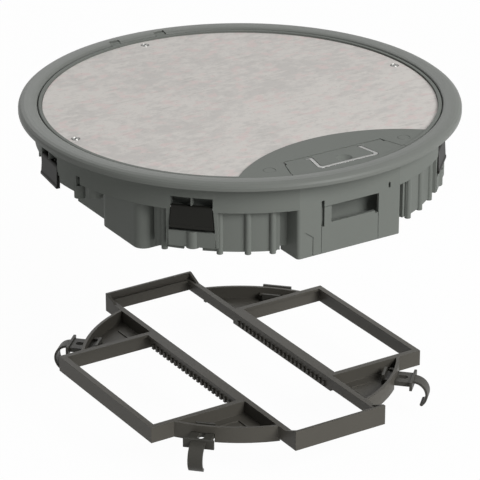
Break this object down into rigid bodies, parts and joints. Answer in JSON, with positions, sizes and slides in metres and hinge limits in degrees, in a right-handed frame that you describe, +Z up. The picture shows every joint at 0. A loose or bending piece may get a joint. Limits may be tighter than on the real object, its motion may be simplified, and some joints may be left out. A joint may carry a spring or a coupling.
{
  "type": "floor socket box",
  "caption": "Round floor socket box with hinged inlay lid, cable outlet flap with bail handle, clamping claws and a separate clip-in mounting frame hanging clear below it.",
  "frame": {"origin": "centre of the floor cut-out, in the plane of the finished floor under the flange bead", "axes": "+Z up out of the floor, -Y towards the cable outlet, +Y towards the lid hinge"},
  "size_m": [0.325, 0.325, 0.2361],
  "materials": {
    "housing": "fine texture",
    "frame": "moulded",
    "latch": "moulded",
    "claw": "moulded",
    "steel": "polished",
    "plate": "zinc plated",
    "inlay": "honed floor covering",
    "foam": "closed-cell foam"
  },
  "bodies": {
    "box": {"flange_ring": "housing", "cassette": "housing", "outlet_panel": "housing", "lid_seal": "foam", "lid_hinge_pins": "steel", "claw_pins": "steel"},
    "lid": {"lid_tray": "housing", "lid_plate": "plate", "lid_inlay": "inlay", "lid_screws": "steel", "outlet_plugs": "housing", "flap_pins": "steel"},
    "flap": {"outlet_flap": "housing", "flap_pad": "foam"},
    "bail": {"bail_handle": "steel"},
    "carrier_frame": {"mounting_frame": "frame"},
    "claw_front_left": {"claw_front_left": "claw"},
    "clamp_screw_front_left": {"claw_screw_front_left": "steel"},
    "claw_front_right": {"claw_front_right": "claw"},
    "clamp_screw_front_right": {"claw_screw_front_right": "steel"},
    "claw_side_left": {"claw_side_left": "claw"},
    "clamp_screw_side_left": {"claw_screw_side_left": "steel"},
    "claw_side_right": {"claw_side_right": "claw"},
    "clamp_screw_side_right": {"claw_screw_side_right": "steel"},
    "latch_front_left": {"latch_front_left": "latch"},
    "latch_front_right": {"latch_front_right": "latch"},
    "latch_rear_left": {"latch_rear_left": "latch"},
    "latch_rear_right": {"latch_rear_right": "latch"}
  },
  "joints": [
    {"name": "lid_hinge", "type": "hinge", "parent": "box", "child": "lid", "pos_m": [0, 0.15, 0.0034], "axis": [-1, 0, 0], "range_deg": [0, 105]},
    {"name": "flap_hinge", "type": "hinge", "parent": "lid", "child": "flap", "pos_m": [0.0036, -0.1173, 0.002], "axis": [-1, 0, 0], "range_deg": [0, 90]},
    {"name": "bail_hinge", "type": "hinge", "parent": "flap", "child": "bail", "pos_m": [0.0036, -0.1202, 0.0023], "axis": [-1, 0, 0], "range_deg": [0, 90]},
    {"name": "frame_insertion", "type": "slide", "parent": "box", "child": "carrier_frame", "axis": [0, 0, 1], "range_m": [0, 0.1684]},
    {"name": "clamp_screw_front_left_advance", "type": "slide", "parent": "box", "child": "clamp_screw_front_left", "axis": [-0.7071, -0.7071, 0], "range_m": [0, 0.004]},
    {"name": "claw_front_left_hinge", "type": "hinge", "parent": "box", "child": "claw_front_left", "pos_m": [-0.10494, -0.10494, -0.0196], "axis": [-0.7071, 0.7071, 0], "range_deg": [0, 32]},
    {"name": "clamp_screw_front_right_advance", "type": "slide", "parent": "box", "child": "clamp_screw_front_right", "axis": [0.7071, -0.7071, 0], "range_m": [0, 0.004]},
    {"name": "claw_front_right_hinge", "type": "hinge", "parent": "box", "child": "claw_front_right", "pos_m": [0.10494, -0.10494, -0.0196], "axis": [-0.7071, -0.7071, 0], "range_deg": [0, 32]},
    {"name": "clamp_screw_side_left_advance", "type": "slide", "parent": "box", "child": "clamp_screw_side_left", "axis": [-0.9914, 0.1305, 0], "range_m": [0, 0.004]},
    {"name": "claw_side_left_hinge", "type": "hinge", "parent": "box", "child": "claw_side_left", "pos_m": [-0.14713, 0.01937, -0.0196], "axis": [0.1305, 0.9914, 0], "range_deg": [0, 32]},
    {"name": "clamp_screw_side_right_advance", "type": "slide", "parent": "box", "child": "clamp_screw_side_right", "axis": [0.9914, 0.1305, 0], "range_m": [0, 0.004]},
    {"name": "claw_side_right_hinge", "type": "hinge", "parent": "box", "child": "claw_side_right", "pos_m": [0.14713, 0.01937, -0.0196], "axis": [0.1305, -0.9914, 0], "range_deg": [0, 32]},
    {"name": "latch_front_left_slide", "type": "slide", "parent": "carrier_frame", "child": "latch_front_left", "axis": [0.7071, 0.7071, 0], "range_m": [0, 0.003], "stiffness_N_per_m": 300},
    {"name": "latch_front_right_slide", "type": "slide", "parent": "carrier_frame", "child": "latch_front_right", "axis": [-0.7071, 0.7071, 0], "range_m": [0, 0.003], "stiffness_N_per_m": 300},
    {"name": "latch_rear_left_slide", "type": "slide", "parent": "carrier_frame", "child": "latch_rear_left", "axis": [0.7071, -0.7071, 0], "range_m": [0, 0.003], "stiffness_N_per_m": 300},
    {"name": "latch_rear_right_slide", "type": "slide", "parent": "carrier_frame", "child": "latch_rear_right", "axis": [-0.7071, -0.7071, 0], "range_m": [0, 0.003], "stiffness_N_per_m": 300}
  ],
  "couplings": [
    {"joint": "claw_front_left_hinge", "follows": "clamp_screw_front_left_advance", "rad_per_m": 139.6},
    {"joint": "claw_front_right_hinge", "follows": "clamp_screw_front_right_advance", "rad_per_m": 139.6},
    {"joint": "claw_side_left_hinge", "follows": "clamp_screw_side_left_advance", "rad_per_m": 139.6},
    {"joint": "claw_side_right_hinge", "follows": "clamp_screw_side_right_advance", "rad_per_m": 139.6}
  ]
}
